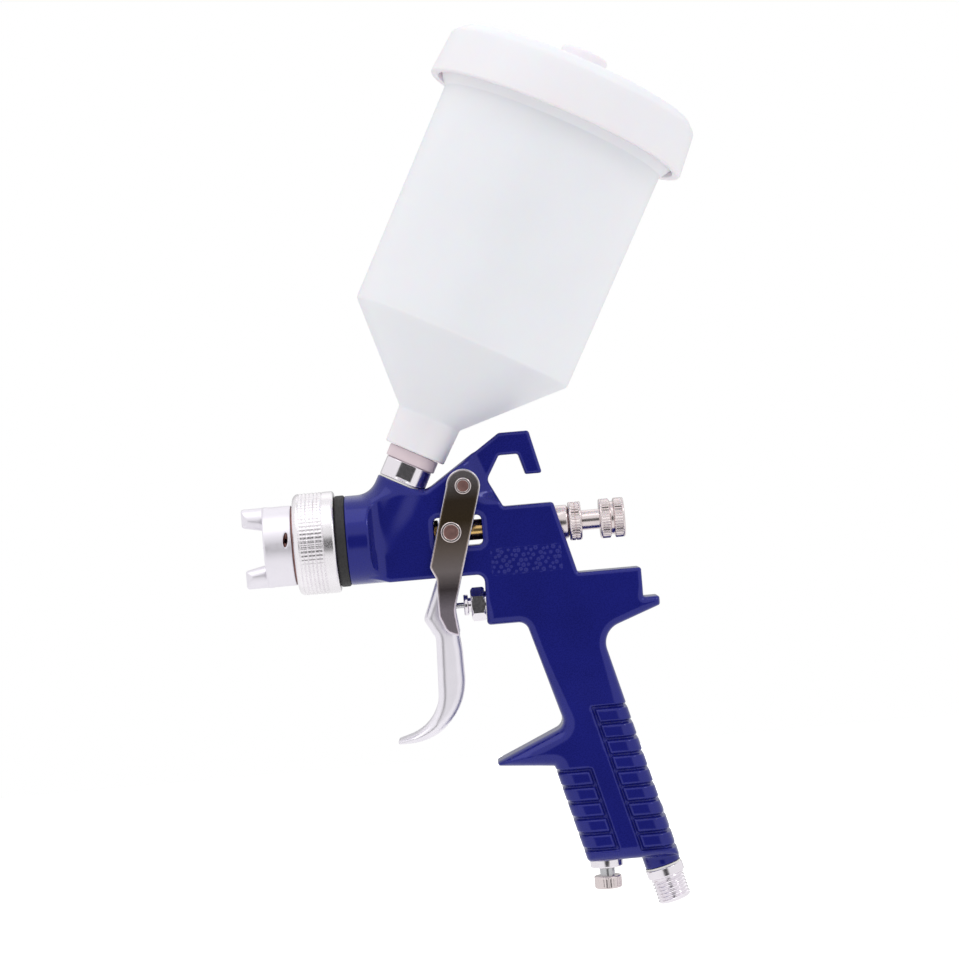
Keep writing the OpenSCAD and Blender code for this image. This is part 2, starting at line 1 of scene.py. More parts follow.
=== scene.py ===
"""Looks of a gravity-feed spray gun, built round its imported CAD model.

The frame is the CAD's: +Z up, nozzle towards -X, plane of symmetry at Y = 0. Shapes are written in
millimetres and scaled to metres when their mesh is made. Turned pieces come from lathe(), and cast,
pressed and milled pieces from solid(), which meshes a distance function.
"""
import math

import bmesh
import bpy
import numpy as np
from mathutils import Matrix, Vector


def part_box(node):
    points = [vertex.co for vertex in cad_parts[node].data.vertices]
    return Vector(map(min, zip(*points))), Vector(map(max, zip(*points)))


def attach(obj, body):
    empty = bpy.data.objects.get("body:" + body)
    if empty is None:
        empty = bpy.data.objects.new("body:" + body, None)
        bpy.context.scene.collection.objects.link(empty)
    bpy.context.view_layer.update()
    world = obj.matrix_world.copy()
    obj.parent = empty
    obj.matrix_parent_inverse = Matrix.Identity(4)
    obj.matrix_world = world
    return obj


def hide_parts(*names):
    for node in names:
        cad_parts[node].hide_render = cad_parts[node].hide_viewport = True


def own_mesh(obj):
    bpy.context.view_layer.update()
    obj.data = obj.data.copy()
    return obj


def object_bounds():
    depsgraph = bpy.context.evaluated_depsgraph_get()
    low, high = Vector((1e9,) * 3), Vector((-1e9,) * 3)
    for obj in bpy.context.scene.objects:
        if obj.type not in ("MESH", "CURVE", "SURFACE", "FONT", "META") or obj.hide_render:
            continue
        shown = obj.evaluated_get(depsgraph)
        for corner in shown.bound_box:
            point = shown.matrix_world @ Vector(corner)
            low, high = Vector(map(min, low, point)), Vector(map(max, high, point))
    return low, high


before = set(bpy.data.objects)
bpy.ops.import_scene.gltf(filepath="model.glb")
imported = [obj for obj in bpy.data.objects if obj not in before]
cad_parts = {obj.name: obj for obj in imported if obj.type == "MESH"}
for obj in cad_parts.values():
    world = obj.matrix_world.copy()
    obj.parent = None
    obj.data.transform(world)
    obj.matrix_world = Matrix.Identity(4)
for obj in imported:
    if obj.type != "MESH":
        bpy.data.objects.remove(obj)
cad_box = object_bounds()

MM = 0.001


# ---- places, from the frame ----

def box_mm(node):
    low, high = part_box(node)
    return np.array(low) / MM, np.array(high) / MM


RING_LOW, RING_HIGH = box_mm("retaining_ring")
CAP_LOW, CAP_HIGH = box_mm("air_cap")
BODY_LOW, BODY_HIGH = box_mm("gun_body")
KNOB_LOW, KNOB_HIGH = box_mm("fluid_knob")
STEM_LOW, STEM_HIGH = box_mm("air_valve_stem")
AXIS_Z = (RING_LOW[2] + RING_HIGH[2]) / 2
VALVE_Z = (STEM_LOW[2] + STEM_HIGH[2]) / 2
RING_R = (RING_HIGH[2] - RING_LOW[2]) / 2
KNOB_R = (KNOB_HIGH[2] - KNOB_LOW[2]) / 2
CAP_R = 15.6
BARREL_R = 17.4
HEAD_X = -65
SPIGOT_X = -77
CAP_FACE_X = -97
WEB_HALF = 9
HOOK_HALF = 6
GRIP_HALF = 12.5
FOOT_Z = -160
RAKE = math.tan(math.radians(14.3))
CUP_LEAN = math.radians(28.2)
CUP_X = -53.3
PIVOT_X, PIVOT_Z = -18.5, -10.6
DRIVE_X = -24.6
PLATE_IN, PLATE_OUT = 9.4, 11.6
BOSS_R = 9.6
BOSS_TOP = 23
ADAPTER_TOP = 31.4
INLET_BOSS_R = 7
GRIP_BACK_X = 52.5
INLET_X = GRIP_BACK_X - INLET_BOSS_R / math.cos(math.atan(RAKE))
INLET_BOSS_END = 4.2
REG_X = 24.5
WINDOW = (-31.2, -12.6, 5.8)


class Axis:
    """A line that turned pieces lie on. Its stations are millimetres along it from its origin."""

    def __init__(self, origin, direction, across=(0, 1, 0)):
        self.origin = Vector(origin)
        self.along = Vector(direction).normalized()
        self.across = Vector(across)
        self.third = self.along.cross(self.across)

    def matrix(self):
        columns = (self.across, self.third, self.along, self.origin)
        return Matrix([[c[i] for c in columns] for i in range(3)] + [[0, 0, 0, 1]])

    def split(self, x, y, z):
        """Distance from the axis, and station along it, of each point."""
        dx, dz = x - self.origin.x, z - self.origin.z
        station = dx * self.along.x + dz * self.along.z
        beside = dx * self.along.z - dz * self.along.x
        return np.hypot(y - self.origin.y, beside), station


NEEDLE_LINE = Axis((0, 0, AXIS_Z), (1, 0, 0))
VALVE_LINE = Axis((0, 0, VALVE_Z), (1, 0, 0))
CUP_LINE = Axis((CUP_X, 0, AXIS_Z), (math.sin(CUP_LEAN), 0, math.cos(CUP_LEAN)))
INLET_LINE = Axis((INLET_X, 0, FOOT_Z), (RAKE, 0, -1))
REG_LINE = Axis((REG_X, 0, FOOT_Z), (0, 0, 1))
PIVOT_LINE = Axis((PIVOT_X, 0, PIVOT_Z), (0, 1, 0), (1, 0, 0))


# ---- outlines ----

def rounded(corners):
    """Points of a closed outline of (a, b, fillet radius) corners, each fillet drawn as an arc."""
    points = []
    for i, (a, b, radius) in enumerate(corners):
        here = np.array((a, b), float)
        if radius == 0:
            points.append(here)
            continue
        before = np.array(corners[i - 1][:2]) - here
        after = np.array(corners[(i + 1) % len(corners)][:2]) - here
        u, v = before / np.linalg.norm(before), after / np.linalg.norm(after)
        half = math.acos(np.clip(u @ v, -1, 1)) / 2
        centre = here + (u + v) / np.linalg.norm(u + v) * radius / math.sin(half)
        start = here + u * radius / math.tan(half) - centre
        end = here + v * radius / math.tan(half) - centre
        first = math.atan2(start[1], start[0])
        sweep = (math.atan2(end[1], end[0]) - first + 3 * math.pi) % (2 * math.pi) - math.pi
        count = max(3, int(abs(sweep) * (4 + radius)))
        for k in range(count + 1):
            angle = first + sweep * k / count
            points.append(centre + radius * np.array((math.cos(angle), math.sin(angle))))
    return points


def finely(points, step, inner):
    """The same closed outline, with no edge longer than step where it is outside the inner radius."""
    result = []
    for here, there in zip(points, points[1:] + points[:1]):
        count = 1
        if min(here[0], there[0]) >= inner:
            count = max(1, int(np.ceil(np.linalg.norm(there - here) / step)))
        result += [here + (there - here) * k / count for k in range(count)]
    return result


# ---- meshes ----

def new_piece(name, vertices, faces, material, body, nodes, sharp=None):
    """A mesh object in the frame, from millimetres, riding on a body in place of its CAD nodes."""
    mesh = bpy.data.meshes.new(name)
    mesh.from_pydata((np.asarray(vertices) * MM).tolist(), [], faces)
    tidy = bmesh.new()
    tidy.from_mesh(mesh)
    bmesh.ops.recalc_face_normals(tidy, faces=tidy.faces)
    tidy.to_mesh(mesh)
    tidy.free()
    mesh.shade_smooth()
    if sharp is not None:
        mesh.set_sharp_from_angle(angle=math.radians(sharp))
    mesh.materials.append(material)
    piece = bpy.data.objects.new(name, mesh)
    bpy.context.scene.collection.objects.link(piece)
    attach(piece, body)
    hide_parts(*nodes)
    return piece


def lathe(name, axis, section, material, body, node, segments, fine=None, relief=None):
    """Turned piece. section: (radius, station, fillet) corners in order round half of its cut face.
    fine: longest edge of the outer surface in the section.
    relief: a function of (radius, station, angle) that gives the radius there, for knurls and
    threads."""
    outline = rounded(section)
    if fine:
        widest = max(radius for radius, station in outline)
        outline = finely(outline, fine, 0.84 * widest)
    outline = [p for i, p in enumerate(outline) if np.linalg.norm(p - outline[i - 1]) > 1e-4]
    turn = np.arange(segments) * 2 * math.pi / segments
    vertices, rows = [], []
    for radius, station in outline:
        if radius < 1e-6:
            rows.append([len(vertices)] * segments)
            vertices.append((0, 0, station))
            continue
        rows.append(list(range(len(vertices), len(vertices) + segments)))
        r = np.full(segments, radius)
        if relief:
            r = relief(r, station, turn)
        vertices += list(zip(r * np.cos(turn), r * np.sin(turn), np.full(segments, station)))
    faces = []
    for low, high in zip(rows, rows[1:] + rows[:1]):
        for i in range(segments):
            k = (i + 1) % segments
            face = []
            for corner in (low[i], low[k], high[k], high[i]):
                if corner not in face:
                    face.append(corner)
            if len(face) > 2:
                faces.append(face)
    placed = [axis.matrix() @ Vector(v) for v in vertices]
    return new_piece(name, placed, faces, material, body, [node], sharp=32)


def surface_net(distance, low, high, step):
    """Vertices and quads of the surface where distance(x, y, z) is 0. The region below 0 is solid."""
    lines = [np.arange(a, b + step, step) for a, b in zip(low, high)]
    shape = np.array([len(line) for line in lines])
    values = np.broadcast_to(distance(*np.meshgrid(*lines, indexing="ij", sparse=True)), shape)
    inside = values < 0
    strides = np.array((shape[1] * shape[2], shape[2], 1))
    points, cells, quads = [], [], []
    for axis in range(3):
        near = [slice(None)] * 3
        far = [slice(None)] * 3
        near[axis], far[axis] = slice(0, -1), slice(1, None)
        ends = np.argwhere(inside[tuple(near)] != inside[tuple(far)])
        others = ends + np.eye(3, dtype=int)[axis]
        first, second = values[tuple(ends.T)], values[tuple(others.T)]
        crossing = ends.astype(float)
        crossing[:, axis] += first / (first - second)
        u, v = (axis + 1) % 3, (axis + 2) % 3
        corners = []
        for du, dv in ((0, 0), (-1, 0), (-1, -1), (0, -1)):
            cell = ends.copy()
            cell[:, u] += du
            cell[:, v] += dv
            corners.append(cell @ strides)
        quad = np.stack(corners, 1)
        outward = inside[tuple(ends.T)]
        quad[~outward] = quad[~outward][:, ::-1]
        quads.append(quad)
        points.append(np.repeat(crossing, 4, 0))
        cells.append(np.stack(corners, 1).ravel())
    used, index = np.unique(np.concatenate(cells), return_inverse=True)
    index = index.ravel()
    points = np.concatenate(points)
    count = np.bincount(index)
    mean = np.stack([np.bincount(index, points[:, i]) / count for i in range(3)], 1)
    faces = np.searchsorted(used, np.concatenate(quads))
    return mean * step + np.array(low), faces


def settle(points, distance, step):
    """Points moved onto the surface where distance is 0, along its slope."""
    reach = 0.03
    for _ in range(2):
        here = distance(*points.T)
        slope = np.stack([
            distance(*(points + offset).T) - distance(*(points - offset).T)
            for offset in np.eye(3) * reach], 1) / (2 * reach)
        size = np.maximum((slope ** 2).sum(1), 0.25)
        move = -here / size
        points = points + slope * np.clip(move, -step, step)[:, None]
    return points


def solid(name, distance, low, high, step, material, body, node):
    """Cast, pressed or milled piece, meshed from its distance function."""
    points, faces = surface_net(distance, np.array(low) - 2 * step, np.array(high) + 2 * step, step)
    points = settle(points, distance, step)
    return new_piece(name, points, faces.tolist(), material, body, [node])


# ---- distances ----

def joined(a, b, soft):
    """Both regions, with a fillet about as wide as soft where they meet."""
    near = np.maximum(soft - np.abs(a - b), 0) / soft
    return np.minimum(a, b) - near * near * soft / 4


def without(a, b, soft):
    """Region a with b cut out of it, the new edges eased by soft."""
    return -joined(-a, b, soft)


def overlap(a, b, radius):
    """Where both regions are, the edge between their faces rounded to radius."""
    p, q = a + radius, b + radius
    return np.hypot(np.maximum(p, 0), np.maximum(q, 0)) + np.minimum(np.maximum(p, q), 0) - radius


def eased(value, start, end):
    """0 before start, 1 after end, smooth in between."""
    t = np.clip((value - start) / (end - start), 0, 1)
    return t * t * (3 - 2 * t)


def outline_distance(x, z, points):
    """Signed distance in the XZ plane to a closed outline."""
    best = np.inf
    inside = False
    for (ax, az), (bx, bz) in zip(points, points[1:] + points[:1]):
        ex, ez = bx - ax, bz - az
        wx, wz = x - ax, z - az
        t = np.clip((wx * ex + wz * ez) / (ex * ex + ez * ez), 0, 1)
        best = np.minimum(best, (wx - ex * t) ** 2 + (wz - ez * t) ** 2)
        if ez:
            inside = inside ^ (((az > z) != (bz > z)) & (x < ax + ex * wz / ez))
    return np.where(inside, -1, 1) * np.sqrt(best)


def rod(axis, x, y, z, start, end, radius, edge=0.0):
    """Distance to a cylinder on an axis, from one station to another."""
    r, station = axis.split(x, y, z)
    return overlap(r - radius, np.maximum(start - station, station - end), edge)


# ---- materials ----

# Most of a noise texture's values lie between these
NOISE_LOW, NOISE_HIGH = 0.3, 0.7


def noise(tree, scale, detail=2.0):
    coords = tree.nodes.new("ShaderNodeTexCoord")
    texture = tree.nodes.new("ShaderNodeTexNoise")
    texture.inputs["Scale"].default_value = scale
    texture.inputs["Detail"].default_value = detail
    tree.links.new(coords.outputs["Object"], texture.inputs["Vector"])
    return texture.outputs["Fac"]


def colour_ramp(tree, factor, stops):
    """A colour that follows factor through (position, colour) stops."""
    node = tree.nodes.new("ShaderNodeValToRGB")
    elements = node.color_ramp.elements
    elements.remove(elements[1])
    for position, colour in stops[1:]:
        elements.new(position).color = (*colour, 1)
    position, colour = stops[0]
    elements[0].position, elements[0].color = position, (*colour, 1)
    tree.links.new(factor, node.inputs["Fac"])
    return node.outputs["Color"]


def rescaled(tree, value, low, high, new_low=0.0, new_high=1.0):
    """A number that runs from new_low to new_high as value goes from low to high."""
    node = tree.nodes.new("ShaderNodeMapRange")
    node.inputs["From Min"].default_value = low
    node.inputs["From Max"].default_value = high
    node.inputs["To Min"].default_value = new_low
    node.inputs["To Max"].default_value = new_high
    tree.links.new(value, node.inputs["Value"])
    return node.outputs["Result"]


def surface(name, colour, roughness, tint=0.05, patch=40, grain=1500, height=0.01, **sockets):
    """Principled surface whose colour, roughness and fine relief wander with noise.
    patch and grain are the noises' scales per metre, and height is the relief in millimetres."""
    material = bpy.data.materials.new(name)
    material.use_nodes = True
    tree = material.node_tree
    shader = tree.nodes["Principled BSDF"]
    broad = noise(tree, patch, 3)
    darker = [c * (1 - tint) for c in colour]
    lighter = [min(1.0, c * (1 + tint)) for c in colour]
    mottled = colour_ramp(tree, broad, ((NOISE_LOW, darker), (NOISE_HIGH, lighter)))
    tree.links.new(mottled, shader.inputs["Base Color"])
    fine = noise(tree, grain)
    wear = rescaled(tree, fine, NOISE_LOW, NOISE_HIGH, roughness * 0.8, roughness * 1.25)
    tree.links.new(wear, shader.inputs["Roughness"])
    bump = tree.nodes.new("ShaderNodeBump")
    bump.inputs["Strength"].default_value = 0.6
    bump.inputs["Distance"].default_value = height * MM
    tree.links.new(fine, bump.inputs["Height"])
    tree.links.new(bump.outputs["Normal"], shader.inputs["Normal"])
    for socket, value in sockets.items():
        shader.inputs[socket.replace("_", " ")].default_value = value
    return material


PAINT = surface("blue_enamel", (0.0115, 0.0145, 0.20), 0.27, tint=0.08, patch=60, grain=2600,
                height=0.003, Metallic=0.3, Specular_IOR_Level=0.1, Coat_Weight=0.5,
                Coat_Roughness=0.03)
CHROME = surface("bright_chrome", (0.86, 0.82, 0.87), 0.16, tint=0.03, grain=1800, height=0.002,
                 Metallic=1.0)
SATIN = surface("satin_chrome", (0.87, 0.84, 0.87), 0.25, tint=0.05, patch=90, grain=2200,
                height=0.003, Metallic=1.0)
PEARL_COLOUR = (0.85, 0.82, 0.88)
PEARL = surface("pearl_chrome", PEARL_COLOUR, 0.42, tint=0.03, patch=70, grain=2200,
                height=0.002, Metallic=1.0)
# Painted shade: a dark reddish metal put on faces in slots, grooves and dished pin heads
RECESS_SHADE = surface("painted_recess_shade", (0.30, 0.17, 0.155), 0.38, tint=0.2, patch=300, grain=2600,
                  height=0.006, Metallic=1.0)
NICKEL = surface("pale_nickel", (0.74, 0.66, 0.66), 0.20, tint=0.06, patch=120, grain=2600,
                 height=0.006, Metallic=1.0)
BRASS = surface("brass", (0.80, 0.52, 0.20), 0.20, tint=0.08, patch=150, grain=2600,
                height=0.006, Metallic=1.0)
STEEL = surface("steel", (0.55, 0.55, 0.57), 0.25, tint=0.06, patch=150, grain=2600,
                height=0.008, Metallic=1.0)
RUBBER = surface("black_rubber", (0.018, 0.017, 0.018), 0.65, tint=0.2, patch=120, grain=1800,
                 height=0.03)
NYLON = surface("white_nylon", (0.82, 0.80, 0.77), 0.45, patch=120, grain=1500, height=0.02)
MILKY = surface("milky_plastic", (0.88, 0.86, 0.90), 0.38, tint=0.02, patch=14, grain=900,
                height=0.02, Subsurface_Weight=0.25, Subsurface_Scale=0.004)
PINK = surface("pinkish_plastic", (0.72, 0.60, 0.64), 0.40, tint=0.03, patch=60, grain=900,
               height=0.02)


# Painted reflection on the trigger's side plates: the colour at heights in millimetres
PLATE_PAINTED_REFLECTION = (
    (-68, (0.62, 0.54, 0.62)), (-58, (0.62, 0.54, 0.62)), (-50, (0.16, 0.13, 0.14)),
    (-43, (0.56, 0.48, 0.48)), (-35, (0.40, 0.32, 0.28)), (-24, (0.12, 0.085, 0.05)),
    (-16, (0.11, 0.08, 0.055)), (-7, (0.34, 0.31, 0.32)))
REFLECTION_LOW, REFLECTION_HIGH = -68, -4


def trigger_plating_and_painted_reflection():
    """Pearl chrome, with a painted reflection on the outer faces of the side plates: nearly black
    between the pins, grey below them and mauve at the foot."""
    pearl_roughness, plate_roughness = 0.36, 0.27
    material = surface("trigger_plating_painted_reflection", PEARL_COLOUR, pearl_roughness, height=0.001, Metallic=1.0)
    tree = material.node_tree
    shader = tree.nodes["Principled BSDF"]
    coords = tree.nodes.new("ShaderNodeTexCoord")
    split = tree.nodes.new("ShaderNodeSeparateXYZ")
    tree.links.new(coords.outputs["Object"], split.inputs["Vector"])

    # Painted reflection: a colour ramp by height, laid only on the plates' outer faces
    height = rescaled(tree, split.outputs["Z"], REFLECTION_LOW * MM, REFLECTION_HIGH * MM)
    painted_reflection = colour_ramp(tree, height, [
        ((z - REFLECTION_LOW) / (REFLECTION_HIGH - REFLECTION_LOW), colour) for z, colour in PLATE_PAINTED_REFLECTION])

    depth = tree.nodes.new("ShaderNodeMath")
    depth.operation = "ABSOLUTE"
    tree.links.new(split.outputs["Y"], depth.inputs[0])
    outer_face = rescaled(tree, depth.outputs["Value"], (PLATE_OUT - 0.22) * MM, (PLATE_OUT - 0.1) * MM)
    mix = tree.nodes.new("ShaderNodeMix")
    mix.data_type = "RGBA"
    pearl = shader.inputs["Base Color"].links[0].from_socket
    tree.links.new(outer_face, mix.inputs["Factor"])
    tree.links.new(pearl, mix.inputs["A"])
    tree.links.new(painted_reflection, mix.inputs["B"])
    tree.links.new(mix.outputs["Result"], shader.inputs["Base Color"])
    gloss = rescaled(tree, outer_face, 0, 1, pearl_roughness, plate_roughness)
    tree.links.new(gloss, shader.inputs["Roughness"])
    return material


TRIGGER_PLATING_AND_REFLECTION = trigger_plating_and_painted_reflection()


def dress(node, material):
    """A CAD node whose shape is right gets its material."""
    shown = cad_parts[node]
    shown.data.materials.clear()
    shown.data.materials.append(material)


def paint_shade(piece, shaded):
    """Faces of a piece get painted shade, a dark reddish metal, where the given test of (x, y, z) is
    true of their middle.
    """
    mesh = piece.data
    mesh.materials.append(RECESS_SHADE)
    for face in mesh.polygons:
        face.material_index = 1 if shaded(*(face.center / MM)) else 0


# ---- body casting ----

def edge_x(foot_x, z):
    return foot_x - (z - FOOT_Z) * RAKE


WEB_BOTTOM = AXIS_Z - BARREL_R
BLOCK_FOOT = -65.2
BLOCK_FRONT = -13.2
BLOCK_TOP = -19.8
NECK_FRONT_X = 26.6
GRIP_FRONT_X = 17.2
SPUR_Z = -106.5
GRIP_TOP = -121.8

FRAME_LINE = rounded([
    (-50, WEB_BOTTOM, 0),
    (BLOCK_FRONT, WEB_BOTTOM, 3),
    (BLOCK_FRONT - 0.6, BLOCK_FOOT, 1.5),
    (edge_x(NECK_FRONT_X, BLOCK_FOOT) - 1.2, BLOCK_FOOT, 4),
    (edge_x(NECK_FRONT_X, SPUR_Z), SPUR_Z, 4),
    (-14.6, -118.4, 0.8),
    (-14, -120, 0.8),
    (edge_x(GRIP_FRONT_X, GRIP_TOP), GRIP_TOP, 0.5),
    (GRIP_FRONT_X, FOOT_Z, 2),
    (edge_x(GRIP_BACK_X, FOOT_Z), FOOT_Z, 0),
    (edge_x(GRIP_BACK_X, -71.5), -71.5, 8),
    (53.6, -63, 1),
    (53.6, -59.4, 1),
    (47.4, -59.4, 0.8),
    (47.4, -47.8, 1),
    (22.9, -47.8, 1),
    (15.7, BLOCK_TOP, 1.2),
    (-3.6, BLOCK_TOP, 1),
    (-9, -9, 1),
    (-13, 1.8, 1),
    (-33, -11.4, 0),
    (-50, -12, 0),
    (-62, -14.5, 0),
    (-62, -41.5, 0)])

HOOK_LINE = rounded([
    (-33, -11.4, 0),
    (-20, -24, 0),
    (-12, -18, 0),
    (-9.2, -9.3, 0),
    (-3.7, 0, 1),
    (3.7, 0, 1),
    (6, -8.2, 0.8),
    (12.5, -8.2, 0.8),
    (8.6, 8.7, 1.2),
    (-3.1, 8.7, 2)])


def groove_profile(distance, half_width):
    return np.maximum(1 - (distance / half_width) ** 2, 0) ** 2


def grip_grooves(x, z):
    """1 at the bottom of the grip's grooves and 0 away from them. Each panel is a stack of level
    grooves that run from an upright one to the grip's edge."""
    pitch = 6.2
    half_width = 1.1
    u = x + (z - FOOT_Z) * RAKE
    relief = 0
    for border, outwards, top, count in ((30.2, -1, -123.9, 6), (39.3, 1, -100.4, 10)):
        bottom = top - (count - 1) * pitch
        nearest = top - np.clip(np.round((top - z) / pitch), 0, count - 1) * pitch
        level = np.hypot(z - nearest, np.maximum((border - u) * outwards, 0))
        upright = np.hypot(u - border, np.maximum(np.maximum(z - top, bottom - z), 0))
        relief = np.maximum(relief, groove_profile(np.minimum(level, upright), half_width))
    return relief


def body_passages(x, y, z):
    """Bores that the other pieces run in."""
    def bore(axis, start, end, radius):
        return rod(axis, x, y, z, start, end, radius)

    cuts = [
        bore(NEEDLE_LINE, SPIGOT_X - 1, -46, 4.5),
        bore(NEEDLE_LINE, SPIGOT_X - 1, -67, 6),
        bore(NEEDLE_LINE, -47, -30, 1.6),
        bore(NEEDLE_LINE, -40, -30, 3.45),
        bore(NEEDLE_LINE, -14, 17, 4.1),
        bore(NEEDLE_LINE, 4, 30, 5.55),
        bore(NEEDLE_LINE, 16, 30, 6.65),
        bore(CUP_LINE, 0, 14, 5),
        bore(CUP_LINE, 12, 24, 7.05),
        bore(CUP_LINE, BOSS_TOP, ADAPTER_TOP, 9.9),
        bore(INLET_LINE, -26, 6, 4.2),
        bore(INLET_LINE, -8, 6, 5.55),
        bore(REG_LINE, -1, 11, 5.05),
        bore(REG_LINE, -1, 22, 4),
        bore(VALVE_LINE, -15, -5, 5.05),
        bore(VALVE_LINE, -6, 19.5, 4.5)]
    pin_hole = np.hypot(x - PIVOT_X, z - PIVOT_Z) - 2.56
    return np.minimum(np.minimum.reduce(np.broadcast_arrays(*cuts)), pin_hole)


def body_distance(x, y, z):
    side = np.abs(y)
    grip = eased(-z, 72, 120)
    u = x + (z - FOOT_Z) * RAKE
    crown = 0.002 * grip * (u - (GRIP_FRONT_X + GRIP_BACK_X) / 2) ** 2
    half = WEB_HALF + (GRIP_HALF - WEB_HALF) * grip - np.minimum(crown, 1.2)
    # The arm thins towards the hook
    beyond = (x + 9) * 0.938 + (z + 9) * 0.347
    half = half - 3 * eased(beyond, -8, -0.5) * eased(z, -19, -13)
    edge = 1.5 + 1.5 * eased(-z, 54, 62) + 2.6 * grip
    casting = overlap(outline_distance(x, z, FRAME_LINE), side - half, edge)
    hook = overlap(outline_distance(x, z, HOOK_LINE), side - HOOK_HALF, 1.2)
    casting = joined(casting, hook, 1.5)

    # The barrel's side is cut down to the web by a pocket with a wide rounded end
    pocket_end = 8
    barrel = rod(NEEDLE_LINE, x, y, z, HEAD_X, -40, BARREL_R, 0.4)
    pocket = overlap(-56 - x, WEB_HALF - 0.7 - side, pocket_end)
    barrel = without(barrel, pocket, 0.8)
    casting = joined(casting, barrel, 0.9)
    boss_r, station = CUP_LINE.split(x, y, z)
    boss_r = boss_r - BOSS_R + 1.6 * (1 - eased(station, 0, 15))
    boss = overlap(boss_r, np.maximum(-2 - station, station - BOSS_TOP), 0.5)
    casting = joined(casting, boss, 5)
    casting = joined(casting, rod(INLET_LINE, x, y, z, -18, INLET_BOSS_END, INLET_BOSS_R, 0.6), 1.5)
    casting = np.minimum(casting, rod(NEEDLE_LINE, x, y, z, SPIGOT_X, -60, 15.5, 0.4))

    casting = casting + grip_grooves(x, z) * (0.35 + 1.05 * eased(side, 3, 9))

    window_x = (WINDOW[0] + WINDOW[1]) / 2
    window = overlap(np.abs(x - window_x) - (WINDOW[1] - WINDOW[0]) / 2,
                     np.abs(z - AXIS_Z) - WINDOW[2], 1.8)
    border = np.maximum(window - 1.5, WEB_HALF - 0.3 - side)
    casting = without(casting, border, 0.3)
    casting = without(casting, window, 0.8)
    return without(casting, body_passages(x, y, z), 0.3)


def make_body():
    solid("body_casting", body_distance, BODY_LOW, BODY_HIGH, 0.55, PAINT, "gun",
          node="gun_body")
    for side in (-1, 1):
        make_stipple(side)


def make_stipple(side):
    """Patch of low cast pimples on the block's side, where such guns carry a cast-in label."""
    left, right, bottom, top = -10.5, 17.5, -46.6, -35.4
    step = 0.2
    pitch_x, pitch_z = 2.2, 1.95
    x, z = np.meshgrid(np.arange(left, right, step), np.arange(bottom, top, step), indexing="ij")
    inside = np.minimum(np.minimum(x - left, right - x), np.minimum(z - bottom, top - z))
    row = np.round(z / pitch_z)
    column = np.round(x / pitch_x + row / 2) - row / 2
    aside = x - (column + 0.2 * np.sin(5.1 * row + 2.3 * column)) * pitch_x
    above = z - (row + 0.2 * np.sin(3.7 * column + 1.9 * row)) * pitch_z
    pimple_r = 0.75 + 0.2 * np.sin(4.3 * column + 2.7 * row)
    pimples = np.maximum(1 - np.hypot(aside, above) / pimple_r, 0)
    height = WEB_HALF - 0.1 + eased(inside, 0, 0.6) * (0.12 + 0.2 * pimples)
    rows, columns = x.shape
    at = np.arange(rows * columns).reshape(rows, columns)
    faces = np.stack([at[:-1, :-1], at[1:, :-1], at[1:, 1:], at[:-1, 1:]], -1).reshape(-1, 4)
    if side > 0:
        faces = faces[:, ::-1]
    points = np.stack([x, side * height, z], -1).reshape(-1, 3)
    name = "label_stipple_left" if side < 0 else "label_stipple_right"
    new_piece(name, points, faces.tolist(), PAINT, "gun", ["gun_body"])


# ---- spray head ----

def knurl(count, depth, start, end, rings=(), ring_half=0.3, ring_depth=0.5):
    """Relief of straight flutes between two stations, crossed by rings at the given stations."""
    def relief(radius, station, turn):
        on_band = radius > radius.max() - 0.9
        inside = min(1.0, max(0.0, (station - start) / 0.3), max(0.0, (end - station) / 0.3))
        flute = depth * inside * (0.5 - 0.5 * np.cos(turn * count)) ** 0.8
        ring = max([0.0] + [ring_depth * (1 - ((station - s) / ring_half) ** 2)
                            for s in rings if abs(station - s) < ring_half])
        return radius - np.where(on_band, flute + ring, 0)
    return relief


def make_ring():
    front, rear = RING_LOW[0], RING_HIGH[0]
    lip = CAP_R + 0.1
    grooves = [front + 2.4 + 1.5 * i for i in range(7)]

    pattern = knurl(80, 0.14, grooves[0], grooves[-1], grooves, 0.3, 0.3)

    def relief(radius, station, turn):
        outside = radius[0] > RING_R - 0.7
        return pattern(radius, station, turn) if outside else radius

    lathe("retaining_ring_knurled", NEEDLE_LINE, [
        (lip, front, 0.3), (RING_R, front, 2.3), (RING_R, rear, 1), (15.56, rear, 0.2),
        (15.56, -80.4, 0), (17.2, -80.4, 0), (17.2, -83.2, 0), (lip, -83.2, 0)],
        SATIN, "retaining_ring", "retaining_ring", 480, 0.12, relief)


def make_gasket():
    low, high = box_mm("head_gasket")
    radius = (high[2] - low[2]) / 2
    lathe("head_gasket_ring", NEEDLE_LINE, [
        (15.6, low[0], 0.2), (radius, low[0], 0.9), (radius, high[0], 0.9), (15.6, high[0], 0.2)],
        RUBBER, "gun", "head_gasket", 160)


HORN_HOLE_LEAN = math.radians(30)


